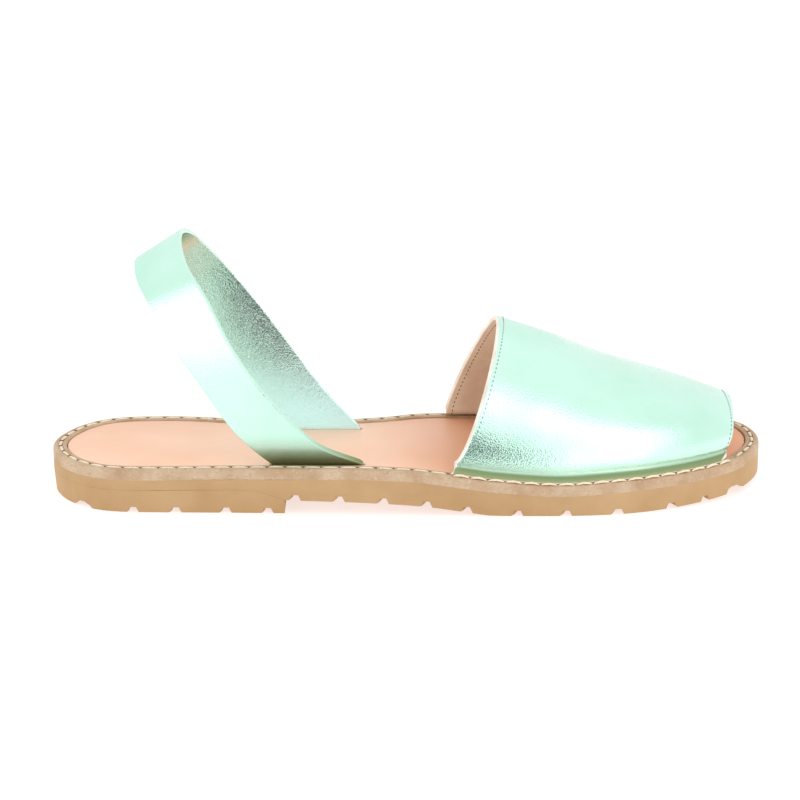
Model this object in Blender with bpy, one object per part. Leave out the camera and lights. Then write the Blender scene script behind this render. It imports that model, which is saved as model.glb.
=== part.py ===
"""Flat open-toe sandal for the right foot, built as six solids.

The toe points along +X, the big-toe side is +Y and the floor is z = 0.
Units are metres.  Every table below is read from the heel to the toe or,
for the heel strap, from the outer slot over the heel to the inner slot.
"""
import math

import bmesh
import bpy
import numpy as np

MM = 0.001

# Sole sizes
SOLE_LENGTH = 253 * MM
BALL_WIDTH = 88 * MM
HEEL_HEIGHT = 15.6 * MM
WELT_THICKNESS = 3.6 * MM
JOINT_GAP = 0.3 * MM
HEEL_TAPER = 0.7 * MM
HEEL_BREAST_SHARE = 0.330

# Rim and insole
RIM_WIDTH = 4.8 * MM
RECESS_DEPTH = 2.3 * MM
INSOLE_DROP = 0.5 * MM
SLOT_SIDE_CLEARANCE = 0.35 * MM
SLOT_END_CLEARANCE = 0.8 * MM

# Tread channels
CHANNEL_MOUTH = 4.2 * MM
CHANNEL_ROOF = 2.4 * MM
CHANNEL_DEPTH = 1.9 * MM
CHANNEL_REACH = 0.55
WAVE_HEIGHT = 2.6 * MM
WAVE_LENGTH = 27 * MM

# Vamp
LEATHER_THICKNESS = 1.9 * MM
VAMP_HEIGHT = 59.6 * MM
FOOT_INSET = 5.0 * MM
FLANGE_INSET = 0.8 * MM
FLANGE_BEND = 2.1 * MM
THROAT_SHARE = 0.555
TOE_OPENING_SHARE = 0.947
OUTER_LEAN_CURVE = 0.7
INNER_LEAN_CURVE = 1.15
THROAT_FOOT_LEAD = 1.5 * MM
THROAT_FLANGE_TRIM = 2.0 * MM
TOE_FOOT_SETBACK = 1.2 * MM
TOE_FLANGE_SETBACK = 3.2 * MM
CORNER_REACH = 0.15

# Heel strap
STRAP_THICKNESS = 2.0 * MM
STRAP_RISE = 77.5 * MM
SLOT_STAND = 0.6 * MM

# Mesh steps
SOLE_STATIONS = 72
STATION_ROOM = 0.012
CHANNEL_STEPS = 28
VAMP_SECTIONS = 24
ARCH_STEPS = 26
BEND_STEPS = 4
STRAP_STATIONS = 44
STRAP_RULINGS = 4

# Plan outline: side positions are shares of the ball width
# along, outer side, inner side
OUTLINE = (
    (0.000, -0.091, -0.091),
    (0.011, -0.234, 0.052),
    (0.027, -0.318, 0.140),
    (0.053, -0.394, 0.218),
    (0.078, -0.436, 0.254),
    (0.110, -0.456, 0.272),
    (0.150, -0.462, 0.276),
    (0.200, -0.464, 0.259),
    (0.250, -0.466, 0.225),
    (0.345, -0.475, 0.182),
    (0.445, -0.483, 0.228),
    (0.534, -0.491, 0.347),
    (0.615, -0.498, 0.440),
    (0.690, -0.500, 0.486),
    (0.745, -0.493, 0.500),
    (0.800, -0.470, 0.490),
    (0.873, -0.400, 0.445),
    (0.944, -0.274, 0.372),
    (0.984, -0.114, 0.268),
    (1.000, 0.080, 0.080),
)

# Side profile: heights above the floor are shares of the heel height
# along, top of the welt, underside of the outsole
PROFILE = (
    (0.000, 1.000, 0.520),
    (0.120, 1.000, 0.520),
    (0.250, 1.025, 0.545),
    (0.295, 1.035, 0.510),
    (0.330, 1.045, 0.325),
    (0.420, 1.045, 0.285),
    (0.500, 1.010, 0.225),
    (0.534, 0.955, 0.175),
    (0.580, 0.860, 0.075),
    (0.620, 0.780, 0.000),
    (0.710, 0.692, 0.000),
    (0.770, 0.735, 0.000),
    (0.840, 0.780, 0.020),
    (0.920, 0.825, 0.075),
    (1.000, 0.860, 0.150),
)

# Channel centres along the outer side, as shares of the sole length
HEEL_CHANNELS = (0.047, 0.114, 0.173, 0.242, 0.300)
FORE_CHANNELS = (
    0.339, 0.400, 0.461, 0.521, 0.577, 0.647, 0.713, 0.780, 0.851, 0.909, 0.960,
)

# Vamp sections from the throat to the toe opening
# from throat, forward lean, top height, top sideways, fullness
# leans are shares of the sole length, heights of the vamp height,
# sideways of the ball width
VAMP_ROWS = (
    (0.00, 0.068, 0.988, -0.010, 2.00),
    (0.25, 0.047, 0.868, 0.000, 2.05),
    (0.50, 0.031, 0.720, 0.010, 2.15),
    (0.75, 0.022, 0.600, 0.025, 2.25),
    (1.00, 0.010, 0.462, 0.045, 2.35),
)

# Heel strap rulings; along and side as in the outline, heights are shares
# of the strap rise above the insole
# rear along, rear side, rear height, front along, front side, front height
STRAP_ROWS = (
    (0.2845, -0.432, 0.098, 0.376, -0.455, 0.115),
    (0.2580, -0.443, 0.193, 0.310, -0.484, 0.343),
    (0.2145, -0.432, 0.401, 0.264, -0.484, 0.556),
    (0.1715, -0.398, 0.601, 0.226, -0.420, 0.785),
    (0.1500, -0.352, 0.718, 0.211, -0.375, 0.850),
    (0.1335, -0.272, 0.788, 0.197, -0.290, 0.908),
    (0.1255, -0.091, 0.855, 0.187, -0.091, 0.985),
    (0.1370, 0.048, 0.806, 0.199, 0.058, 0.940),
    (0.1680, 0.108, 0.676, 0.229, 0.124, 0.822),
    (0.2240, 0.122, 0.454, 0.283, 0.145, 0.604),
    (0.2720, 0.100, 0.231, 0.332, 0.125, 0.386),
    (0.3060, 0.090, 0.080, 0.381, 0.102, 0.178),
)

# Where the strap enters the insole
# rear along, front along, side
OUTER_SLOT = (0.3120, 0.4370, -0.392)
INNER_SLOT = (0.3100, 0.4310, 0.085)

# Colours
RUBBER_NAME = "outsole_rubber"
INSOLE_NAME = "insole_leather"
RUBBER_TAN = (0.610, 0.390, 0.200, 1.0)
WELT_BEIGE = (0.700, 0.480, 0.300, 1.0)
INSOLE_PEACH = (0.950, 0.640, 0.470, 1.0)
FOIL_MINT = (0.560, 0.930, 0.780, 1.0)


def clear_scene():
    """Start from an empty scene."""
    for thing in list(bpy.data.objects):
        bpy.data.objects.remove(thing, do_unlink=True)


def smooth_slopes(places, values):
    """Slopes for a cubic that never overshoots the table it passes."""
    steps = np.diff(places)
    rises = np.diff(values, axis=0) / steps[:, None]
    slopes = np.zeros_like(values)
    before = rises[:-1]
    after = rises[1:]
    wide = 2 * steps[1:, None] + steps[:-1, None]
    narrow = steps[1:, None] + 2 * steps[:-1, None]
    same_way = before * after > 0
    safe_before = np.where(same_way, before, 1.0)
    safe_after = np.where(same_way, after, 1.0)
    blended = (wide + narrow) / (wide / safe_before + narrow / safe_after)
    slopes[1:-1] = np.where(same_way, blended, 0.0)
    slopes[0] = rises[0]
    slopes[-1] = rises[-1]
    return slopes


def read_table(places, values, wanted):
    """Smooth values at the wanted places, one column per table column."""
    places = np.asarray(places, float)
    values = np.asarray(values, float)
    wanted = np.clip(np.asarray(wanted, float), places[0], places[-1])
    slopes = smooth_slopes(places, values)
    cell = np.clip(np.searchsorted(places, wanted, side="right") - 1, 0, len(places) - 2)
    span = (places[cell + 1] - places[cell])[:, None]
    part = (wanted - places[cell])[:, None] / span
    start_weight = 2 * part**3 - 3 * part**2 + 1
    start_pull = part**3 - 2 * part**2 + part
    end_weight = 3 * part**2 - 2 * part**3
    end_pull = part**3 - part**2
    result = start_weight * values[cell] + end_weight * values[cell + 1]
    result += span * (start_pull * slopes[cell] + end_pull * slopes[cell + 1])
    return result


def flowing_table(places, values, wanted):
    """Values on a flowing curve through the table, for free-form leather."""
    places = np.asarray(places, float)
    values = np.asarray(values, float)
    slopes = np.gradient(values, places, axis=0)
    cell = np.clip(np.searchsorted(places, wanted, side="right") - 1, 0, len(places) - 2)
    span = (places[cell + 1] - places[cell])[:, None]
    part = (wanted - places[cell])[:, None] / span
    start_weight = 2 * part**3 - 3 * part**2 + 1
    start_pull = part**3 - 2 * part**2 + part
    end_weight = 3 * part**2 - 2 * part**3
    end_pull = part**3 - part**2
    result = start_weight * values[cell] + end_weight * values[cell + 1]
    result += span * (start_pull * slopes[cell] + end_pull * slopes[cell + 1])
    return result


def round_ends(share):
    """Turn of the end rounding, even steps of it bunch up at heel and toe."""
    return np.arccos(1 - 2 * np.asarray(share, float)) / math.pi


def station_shares():
    """Shares of the sole length, close together at the heel and the toe."""
    turns = np.linspace(0, 1, SOLE_STATIONS + 1)
    even = (1 - np.cos(turns * math.pi)) / 2
    kept = even[np.abs(even - HEEL_BREAST_SHARE) > STATION_ROOM]
    return np.sort(np.append(kept, HEEL_BREAST_SHARE))


def side_positions(shares):
    """Outer and inner side positions of the sole in metres."""
    table = np.array(OUTLINE)
    return BALL_WIDTH * read_table(round_ends(table[:, 0]), table[:, 1:], round_ends(shares))


def heights(shares):
    """Top of the welt and underside of the outsole in metres."""
    table = np.array(PROFILE)
    return HEEL_HEIGHT * read_table(table[:, 0], table[:, 1:], shares)


def share_of(x):
    """Share of the sole length at a lengthwise position."""
    return np.clip(np.asarray(x) / SOLE_LENGTH + 0.5, 0, 1)


def along(share):
    """Lengthwise position of a share of the sole length."""
    return (np.asarray(share) - 0.5) * SOLE_LENGTH


def welt_top(x):
    """Height of the top of the welt at a lengthwise position."""
    return heights(np.atleast_1d(share_of(x)))[:, 0]


def outsole_underside(x):
    """Height of the underside of the outsole at a lengthwise position."""
    return heights(np.atleast_1d(share_of(x)))[:, 1]


def plan_loop(shares):
    """Closed outline: heel end, outer side, toe end, then back inside."""
    sides = side_positions(shares)
    x = along(shares)
    outer = np.column_stack([x, sides[:, 0]])
    inner = np.column_stack([x, sides[:, 1]])
    return np.vstack([outer, inner[-2:0:-1]])


def outward_normals(loop):
    """Unit plan directions pointing out of a loop that runs heel, outer, toe."""
    ahead = np.roll(loop, -1, axis=0) - np.roll(loop, 1, axis=0)
    normal = np.column_stack([ahead[:, 1], -ahead[:, 0]])
    return normal / np.linalg.norm(normal, axis=1)[:, None]


def inset_loop(loop, distance):
    """The loop moved inward by a distance."""
    return loop - outward_normals(loop) * distance


def ladder_faces(start, count, upward):
    """Faces that fill a loop by rungs from its outer to its inner side."""
    half = count // 2
    faces = [(start, start + 1, start + count - 1)]
    for rung in range(1, half - 1):
        near = start + rung
        far = start + count - rung
        faces.append((near, near + 1, far - 1, far))
    faces.append((start + half - 1, start + half, start + half + 1))
    if upward:
        return faces
    return [tuple(reversed(face)) for face in faces]


def wall_faces(lower, upper, count):
    """Faces between two loops, facing away from the loop's middle."""
    faces = []
    for step in range(count):
        after = (step + 1) % count
        faces.append((lower + step, lower + after, upper + after, upper + step))
    return faces


def make_solid(name, points, faces, material):
    """A mesh object with outward faces and its own material."""
    mesh = bpy.data.meshes.new(name)
    mesh.from_pydata([tuple(map(float, point)) for point in points], [], faces)
    worker = bmesh.new()
    worker.from_mesh(mesh)
    bmesh.ops.recalc_face_normals(worker, faces=worker.faces)
    worker.to_mesh(mesh)
    worker.free()
    mesh.materials.append(material)
    solid = bpy.data.objects.new(name, mesh)
    bpy.context.collection.objects.link(solid)
    return solid


def make_material(name, colour, roughness):
    """A plain material for one solid."""
    material = bpy.data.materials.new(name)
    material.use_nodes = True
    surface = material.node_tree.nodes["Principled BSDF"]
    surface.inputs["Base Color"].default_value = colour
    surface.inputs["Roughness"].default_value = roughness
    return material


def stack_loops(loops_and_heights):
    """Points of several loops, one after another."""
    layers = []
    for loop, height in loops_and_heights:
        layers.append(np.column_stack([loop, height]))
    return np.vstack(layers)


def plate(name, lower_loop, lower_height, upper_loop, upper_height, material):
    """A solid between two matching loops."""
    count = len(lower_loop)
    points = stack_loops([(lower_loop, lower_height), (upper_loop, upper_height)])
    faces = wall_faces(0, count, count)
    faces += ladder_faces(0, count, upward=False)
    faces += ladder_faces(count, count, upward=True)
    return make_solid(name, points, faces, material)


def channel_cutter(name, centres, floor_height):
    """Wavy bars across the sole, wider at the mouth than at the roof."""
    points = []
    faces = []
    reach = CHANNEL_REACH * BALL_WIDTH
    side_steps = np.linspace(-reach, reach, CHANNEL_STEPS + 1)
    below = CHANNEL_DEPTH
    flare = (CHANNEL_MOUTH - CHANNEL_ROOF) / 2
    for centre in centres:
        middle = along(centre)
        mouth_height = float(floor_height(np.array([middle]))[0])
        start = len(points)
        for side in side_steps:
            wave = WAVE_HEIGHT * math.sin(2 * math.pi * (side + BALL_WIDTH / 2) / WAVE_LENGTH)
            x = middle + wave
            roof = CHANNEL_ROOF / 2
            low = roof + flare * (CHANNEL_DEPTH + below) / CHANNEL_DEPTH
            points.append((x - low, side, mouth_height - below))
            points.append((x + low, side, mouth_height - below))
            points.append((x + roof, side, mouth_height + CHANNEL_DEPTH))
            points.append((x - roof, side, mouth_height + CHANNEL_DEPTH))
        for step in range(CHANNEL_STEPS):
            here = start + 4 * step
            ahead = here + 4
            for corner in range(4):
                turn = (corner + 1) % 4
                faces.append((here + corner, ahead + corner, ahead + turn, here + turn))
        last = start + 4 * CHANNEL_STEPS
        faces.append((start, start + 1, start + 2, start + 3))
        faces.append((last + 3, last + 2, last + 1, last))
    cutter = make_solid(name, points, faces, bpy.data.materials[RUBBER_NAME])
    cutter.hide_render = True
    cutter.display_type = "WIRE"
    return cutter


def cut_away(solid, cutter):
    """Remove the cutter's shape from the solid."""
    step = solid.modifiers.new("cut", "BOOLEAN")
    step.operation = "DIFFERENCE"
    step.solver = "EXACT"
    step.object = cutter


def sheet_normals(grid):
    """Unit normals of a grid of points from its two running directions."""
    run = np.gradient(grid, axis=0)
    across = np.gradient(grid, axis=1)
    normal = np.cross(run, across)
    return normal / np.linalg.norm(normal, axis=2)[:, :, None]


def thick_sheet(name, grid, thickness, material):
    """A closed solid around a grid of middle points."""
    rows, columns, _ = grid.shape
    normal = sheet_normals(grid)
    one_side = grid + normal * thickness / 2
    other_side = grid - normal * thickness / 2
    points = np.vstack([one_side.reshape(-1, 3), other_side.reshape(-1, 3)])
    back = rows * columns
    faces = []
    for row in range(rows - 1):
        for column in range(columns - 1):
            here = row * columns + column
            below = here + columns
            faces.append((here, below, below + 1, here + 1))
            faces.append((back + here, back + here + 1, back + below + 1, back + below))
    for row in range(rows - 1):
        for column in (0, columns - 1):
            here = row * columns + column
            below = here + columns
            faces.append((here, below, back + below, back + here))
    for column in range(columns - 1):
        for row in (0, rows - 1):
            here = row * columns + column
            faces.append((here, here + 1, back + here + 1, back + here))
    return make_solid(name, points, faces, material)


def shade_round(solid, angle):
    """Smooth shading that keeps the hard edges."""
    for polygon in solid.data.polygons:
        polygon.use_smooth = True
    solid.data.set_sharp_from_angle(angle=math.radians(angle))


def build_outsole(material):
    """Rubber outsole: full length, its thick forepart thins over the heel."""
    loop = plan_loop(station_shares())
    upper = welt_top(loop[:, 0]) - WELT_THICKNESS - JOINT_GAP
    lower = outsole_underside(loop[:, 0])
    outsole = plate("outsole", loop, lower, loop, upper, material)
    cut_away(outsole, channel_cutter("outsole_channels", FORE_CHANNELS, outsole_underside))
    return outsole


def build_heel(material):
    """Rubber heel block under the outsole, with a straight front face."""
    shares = station_shares()
    shares = shares[shares <= HEEL_BREAST_SHARE]
    sides = side_positions(shares)
    x = along(shares)
    outer = np.column_stack([x, sides[:, 0]])
    inner = np.column_stack([x, sides[:, 1]])
    top_loop = np.vstack([outer, inner[:0:-1]])
    count = len(top_loop)
    front = np.array([x[-1], sides[-1].mean()])
    half_size = np.array([x[-1] - x[0], (sides[-1, 1] - sides[-1, 0]) / 2])
    foot_loop = front + (top_loop - front) * (1 - HEEL_TAPER / half_size)
    upper = outsole_underside(top_loop[:, 0]) - JOINT_GAP
    points = stack_loops([(foot_loop, np.zeros(count)), (top_loop, upper)])
    faces = wall_faces(0, count, count)
    for start, upward in ((0, False), (count, True)):
        ladder = [(start, start + 1, start + count - 1)]
        for rung in range(1, count // 2):
            near = start + rung
            far = start + count - rung
            ladder.append((near, near + 1, far - 1, far))
        faces += ladder if upward else [tuple(reversed(face)) for face in ladder]
    heel = make_solid("heel", points, faces, material)
    cut_away(heel, channel_cutter("heel_channels", HEEL_CHANNELS, np.zeros_like))
    return heel


def build_midsole(material):
    """Leather midsole: its raised rim is the welt around the insole."""
    loop = plan_loop(station_shares())
    recess = inset_loop(loop, RIM_WIDTH)
    count = len(loop)
    top = welt_top(loop[:, 0])
    recess_top = welt_top(recess[:, 0])
    points = stack_loops([
        (loop, top - WELT_THICKNESS),
        (loop, top),
        (recess, recess_top),
        (recess, recess_top - RECESS_DEPTH),
    ])
    faces = wall_faces(0, count, count)
    faces += wall_faces(count, 2 * count, count)
    faces += wall_faces(2 * count, 3 * count, count)
    faces += ladder_faces(0, count, upward=False)
    faces += ladder_faces(3 * count, count, upward=True)
    return make_solid("midsole", points, faces, material)


def slot_cutter(name, slot):
    """Round-ended bar that opens one strap slot in the insole."""
    rear, front, side = slot
    start = along(rear) - SLOT_END_CLEARANCE
    end = along(front) + SLOT_END_CLEARANCE
    half = STRAP_THICKNESS / 2 + SLOT_SIDE_CLEARANCE
    middle_side = side * BALL_WIDTH
    turns = np.linspace(-math.pi / 2, math.pi / 2, BEND_STEPS + 1)
    front_end = [(end - half + half * math.cos(t), middle_side + half * math.sin(t)) for t in turns]
    rear_end = [(start + half - half * math.cos(t), middle_side - half * math.sin(t)) for t in turns]
    loop = np.array(front_end + rear_end)
    count = len(loop)
    low = np.full(count, float(welt_top(loop[0, 0])[0]) - 2 * RECESS_DEPTH)
    points = stack_loops([(loop, low), (loop, low + 4 * RECESS_DEPTH)])
    faces = wall_faces(0, count, count)
    faces.append(tuple(range(count))[::-1])
    faces.append(tuple(range(count, 2 * count)))
    cutter = make_solid(name, points, faces, bpy.data.materials[INSOLE_NAME])
    cutter.hide_render = True
    cutter.display_type = "WIRE"
    return cutter


def build_insole(material):
    """Leather insole lying in the rim, with a slot at each side for the strap."""
    loop = inset_loop(plan_loop(station_shares()), RIM_WIDTH + JOINT_GAP)
    rim_top = welt_top(loop[:, 0])
    upper = rim_top - INSOLE_DROP
    lower = rim_top - RECESS_DEPTH + JOINT_GAP
    insole = plate("insole", loop, lower, loop, upper, material)
    cut_away(insole, slot_cutter("outer_slot", OUTER_SLOT))
    cut_away(insole, slot_cutter("inner_slot", INNER_SLOT))
    return insole


def loop_at(loop, x, half_start, half_end):
    """Point of one side of a plan loop at a lengthwise position."""
    part = loop[half_start:half_end]
    if part[0, 0] > part[-1, 0]:
        part = part[::-1]
    return np.array([x, np.interp(x, part[:, 0], part[:, 1])])


def vamp_flange(foot, edge, base_height):
    """Flange and bend of the vamp from its outer edge up to the wall foot."""
    out = math.copysign(1.0, edge[1] - foot[1])
    points = [np.array([edge[0], edge[1], base_height])]
    for turn in np.linspace(0, math.pi / 2, BEND_STEPS + 1):
        reach = FLANGE_BEND * (1 - math.sin(turn))
        rise = FLANGE_BEND * (1 - math.cos(turn))
        points.append(np.array([foot[0], foot[1] + out * reach, base_height + rise]))
    return points


def corner_shifts(row_share):
    """Lengthwise shifts of the outer foot, outer edge, inner foot and inner edge."""
    throat = max(0.0, 1 - row_share / CORNER_REACH)
    toe = max(0.0, 1 - (1 - row_share) / CORNER_REACH) ** 2
    outer_foot = THROAT_FOOT_LEAD * throat - TOE_FOOT_SETBACK * toe
    outer_edge = -TOE_FLANGE_SETBACK * toe
    inner_edge = THROAT_FLANGE_TRIM * throat
    return outer_foot, outer_edge, 0.0, inner_edge


def vamp_section(row_share):
    """Middle line of one vamp section from the outer to the inner flange."""
    table = np.array(VAMP_ROWS)
    lean, top, sideways, fullness = read_table(table[:, 0], table[:, 1:], [row_share])[0]
    x = along(THROAT_SHARE + (TOE_OPENING_SHARE - THROAT_SHARE) * row_share)
    loop = plan_loop(station_shares())
    foot_loop = inset_loop(loop, FOOT_INSET)
    edge_loop = inset_loop(loop, FLANGE_INSET)
    half = len(loop) // 2
    shifts = corner_shifts(row_share)
    outer_foot = loop_at(foot_loop, x + shifts[0], 0, half + 1)
    outer_edge = loop_at(edge_loop, x + shifts[1], 0, half + 1)
    inner_foot = loop_at(foot_loop, x + shifts[2], half, 2 * half)
    inner_edge = loop_at(edge_loop, x + shifts[3], half, 2 * half)
    base = float(welt_top(x)[0]) + JOINT_GAP + LEATHER_THICKNESS / 2
    outer_side = vamp_flange(outer_foot, outer_edge, base)
    inner_side = vamp_flange(inner_foot, inner_edge, base)[::-1]
    wall_foot = base + FLANGE_BEND
    crown = VAMP_HEIGHT * top - wall_foot
    crown_side = sideways * BALL_WIDTH
    power = 2 / fullness
    arch = []
    for turn in np.linspace(0, math.pi, ARCH_STEPS + 1)[1:-1]:
        across = abs(math.cos(turn)) ** power
        up = math.sin(turn) ** power
        on_outer = turn < math.pi / 2
        foot = outer_foot if on_outer else inner_foot
        curve = OUTER_LEAN_CURVE if on_outer else INNER_LEAN_CURVE
        forward = lean * SOLE_LENGTH * math.sin(turn) ** curve
        low_shift = (foot[0] - x) * (1 - up) ** 3
        side = crown_side + (foot[1] - crown_side) * across
        arch.append(np.array([x + forward + low_shift, side, wall_foot + crown * up]))
    return np.array(outer_side + arch + inner_side)


def build_vamp(material):
    """Leather vamp: an arch from rim to rim, open at the throat and the toe."""
    rows = [vamp_section(share) for share in np.linspace(0, 1, VAMP_SECTIONS + 1)]
    return thick_sheet("vamp", np.array(rows), LEATHER_THICKNESS, material)


def slot_rulings(slot):
    """Strap rulings that stand upright in one slot, lowest first."""
    rear, front, side = slot
    rulings = []
    for lift in (0.0, 1.0):
        ends = []
        for share in (rear, front):
            x = along(share)
            top = float(welt_top(x)[0])
            floor_height = top - RECESS_DEPTH + JOINT_GAP
            stand = top - INSOLE_DROP + SLOT_STAND
            height = floor_height + (stand - floor_height) * lift
            ends += [x, side * BALL_WIDTH, height]
        rulings.append(ends)
    return rulings


def build_strap(material):
    """Leather strap that rises from the slots and loops behind the heel."""
    seat = float(welt_top(along(OUTER_SLOT[1]))[0]) - INSOLE_DROP
    rulings = slot_rulings(OUTER_SLOT)
    for row in STRAP_ROWS:
        ends = []
        for start in (0, 3):
            ends.append(along(row[start]))
            ends.append(row[start + 1] * BALL_WIDTH)
            ends.append(seat + row[start + 2] * STRAP_RISE)
        rulings.append(ends)
    rulings += slot_rulings(INNER_SLOT)[::-1]
    rulings = np.array(rulings)
    middle = (rulings[:, :3] + rulings[:, 3:]) / 2
    places = np.concatenate([[0], np.cumsum(np.linalg.norm(np.diff(middle, axis=0), axis=1))])
    wanted = np.linspace(places[1], places[-2], STRAP_STATIONS + 1)
    lines = flowing_table(places[1:-1], rulings[1:-1], wanted)
    lines = np.vstack([rulings[:1], lines, rulings[-1:]])
    widths = np.linspace(0, 1, STRAP_RULINGS + 1)[None, :, None]
    grid = lines[:, None, :3] * (1 - widths) + lines[:, None, 3:] * widths
    return thick_sheet("heel_strap", grid, STRAP_THICKNESS, material)


def build_sandal():
    """Make the six solids and shade them."""
    clear_scene()
    rubber = make_material(RUBBER_NAME, RUBBER_TAN, 0.7)
    heel_rubber = make_material("heel_rubber", RUBBER_TAN, 0.7)
    welt = make_material("welt_leather", WELT_BEIGE, 0.8)
    insole_leather = make_material(INSOLE_NAME, INSOLE_PEACH, 0.6)
    foil = make_material("foil_leather", FOIL_MINT, 0.3)
    strap_foil = make_material("strap_leather", FOIL_MINT, 0.3)
    sole_pieces = (
        build_outsole(rubber),
        build_heel(heel_rubber),
        build_midsole(welt),
        build_insole(insole_leather),
    )
    leather_pieces = (build_vamp(foil), build_strap(strap_foil))
    for solid in sole_pieces:
        shade_round(solid, 35)
    for solid in leather_pieces:
        shade_round(solid, 50)


build_sandal()
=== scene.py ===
"""Open-toe slingback sandal for the right foot, dressed for a studio picture.

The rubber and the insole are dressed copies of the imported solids.  The welt
board, the vamp and the strap are laid out anew from the same driving sizes.
The toe points along +X, the big-toe side is +Y and the floor is z = 0.
Lengths are in metres.
"""
import math
import random

import bpy
import numpy as np
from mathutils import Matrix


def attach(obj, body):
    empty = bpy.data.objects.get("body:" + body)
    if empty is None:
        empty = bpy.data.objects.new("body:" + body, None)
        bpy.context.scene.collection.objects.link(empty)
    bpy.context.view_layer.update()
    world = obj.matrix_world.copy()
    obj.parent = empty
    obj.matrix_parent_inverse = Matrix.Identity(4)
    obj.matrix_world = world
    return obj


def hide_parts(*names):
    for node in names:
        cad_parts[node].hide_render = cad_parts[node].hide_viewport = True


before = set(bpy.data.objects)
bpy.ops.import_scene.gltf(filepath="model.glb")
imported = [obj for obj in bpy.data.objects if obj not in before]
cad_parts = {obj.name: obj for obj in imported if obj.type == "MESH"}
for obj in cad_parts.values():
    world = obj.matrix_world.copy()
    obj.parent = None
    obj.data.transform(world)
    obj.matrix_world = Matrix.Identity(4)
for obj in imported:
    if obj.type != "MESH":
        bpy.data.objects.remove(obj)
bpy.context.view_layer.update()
MM = 0.001


# Outsole: one full-length piece of moulded tan crepe-coloured rubber, thin over
# the heel and thick under the forepart, with wavy channels across its tread.
# It is glued to the midsole above it.

RUBBER_EDGE = 0.1 * MM
OUTSOLE_LIFT = 0.22 * MM
LEVEL_FACE = 0.9
WELD_REACH = 0.001 * MM
FLAT_ANGLE = math.radians(1.2)
HARD_EDGE_ANGLE = math.radians(40)
SMOOTH_ANGLE = math.radians(38)
RUBBER_TAN = "#BE9B6E"
RUBBER_SHADE = "#B48F62"
RUBBER_GRAIN = 0.8 * MM
RUBBER_CLOUD = 17 * MM
PIT_DEPTH = 0.04 * MM


def linear(hex_colour):
    """An sRGB hex colour as a linear colour with full alpha."""
    shares = [int(hex_colour[at:at + 2], 16) / 255 for at in (1, 3, 5)]
    lights = [s / 12.92 if s <= 0.04045 else ((s + 0.055) / 1.055) ** 2.4 for s in shares]
    return (*lights, 1.0)


def node(tree, kind, inputs=None, **settings):
    """Add a shader node, set its properties, and fill its sockets with values or links."""
    made = tree.nodes.new("ShaderNode" + kind)
    for name, value in settings.items():
        setattr(made, name, value)
    for name, value in (inputs or {}).items():
        if isinstance(value, bpy.types.NodeSocket):
            tree.links.new(value, made.inputs[name])
        else:
            made.inputs[name].default_value = value
    return made


def finish_named(name):
    """A new material with its shader, and the place on the object its patterns read."""
    material = bpy.data.materials.new(name)
    material.use_nodes = True
    tree = material.node_tree
    surface = tree.nodes["Principled BSDF"]
    place = node(tree, "TexCoord").outputs["Object"]
    return material, tree, surface, place


def speckle(tree, place, size, detail=2.0, stretch=(1, 1, 1)):
    """Noise with features of a real size, running from 0 to 1."""
    spread = node(tree, "Mapping", {"Vector": place, "Scale": stretch})
    noise = node(tree, "TexNoise", {
        "Vector": spread.outputs["Vector"], "Scale": 1 / size, "Detail": detail,
    })
    return noise.outputs["Fac"]


def ramp(tree, amount, low, high):
    """An amount stretched so that low gives 0 and high gives 1."""
    return node(tree, "MapRange", {
        "Value": amount, "From Min": low, "From Max": high,
    }).outputs["Result"]


def blend(tree, amount, first, second):
    """A colour between two others."""
    mixed = node(tree, "Mix", {0: amount, 6: first, 7: second}, data_type="RGBA")
    return mixed.outputs[2]


def relief(tree, height, depth, under=None):
    """A bump of a real depth, on top of another bump if one is given."""
    inputs = {"Height": height, "Distance": depth}
    if under is not None:
        inputs["Normal"] = under
    return node(tree, "Bump", inputs).outputs["Normal"]


def moulded_rubber(name):
    """Solid tan rubber from a mould: matt, faintly pitted, cloudy in colour."""
    material, tree, surface, place = finish_named(name)
    cloud = ramp(tree, speckle(tree, place, RUBBER_CLOUD, 4.0), 0.35, 0.70)
    tone = blend(tree, cloud, linear(RUBBER_TAN), linear(RUBBER_SHADE))
    tree.links.new(tone, surface.inputs["Base Color"])
    dull = node(tree, "MapRange", {"Value": cloud, "To Min": 0.62, "To Max": 0.78})
    tree.links.new(dull.outputs["Result"], surface.inputs["Roughness"])
    pits = relief(tree, speckle(tree, place, RUBBER_GRAIN), PIT_DEPTH)
    tree.links.new(pits, surface.inputs["Normal"])
    return material


def deselect_all():
    """Leave nothing selected and no mesh being edited."""
    if bpy.context.object and bpy.context.object.mode != "OBJECT":
        bpy.ops.object.mode_set(mode="OBJECT")
    bpy.ops.object.select_all(action="DESELECT")


def make_active(piece):
    """Select one piece only and work on it."""
    deselect_all()
    piece.select_set(True)
    bpy.context.view_layer.objects.active = piece


def apply_modifier(piece, kind, **settings):
    """Add a modifier with its settings and apply it."""
    make_active(piece)
    step = piece.modifiers.new(kind.lower(), kind)
    for name, value in settings.items():
        setattr(step, name, value)
    bpy.ops.object.modifier_apply(modifier=step.name)


def close_joint(piece, lift):
    """Raise the glued upper face of a sole layer until it meets the layer above."""
    for polygon in piece.data.polygons:
        if polygon.normal.z > LEVEL_FACE:
            for corner in polygon.vertices:
                piece.data.vertices[corner].select = True
    for vertex in piece.data.vertices:
        if vertex.select:
            vertex.co.z += lift


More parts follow.
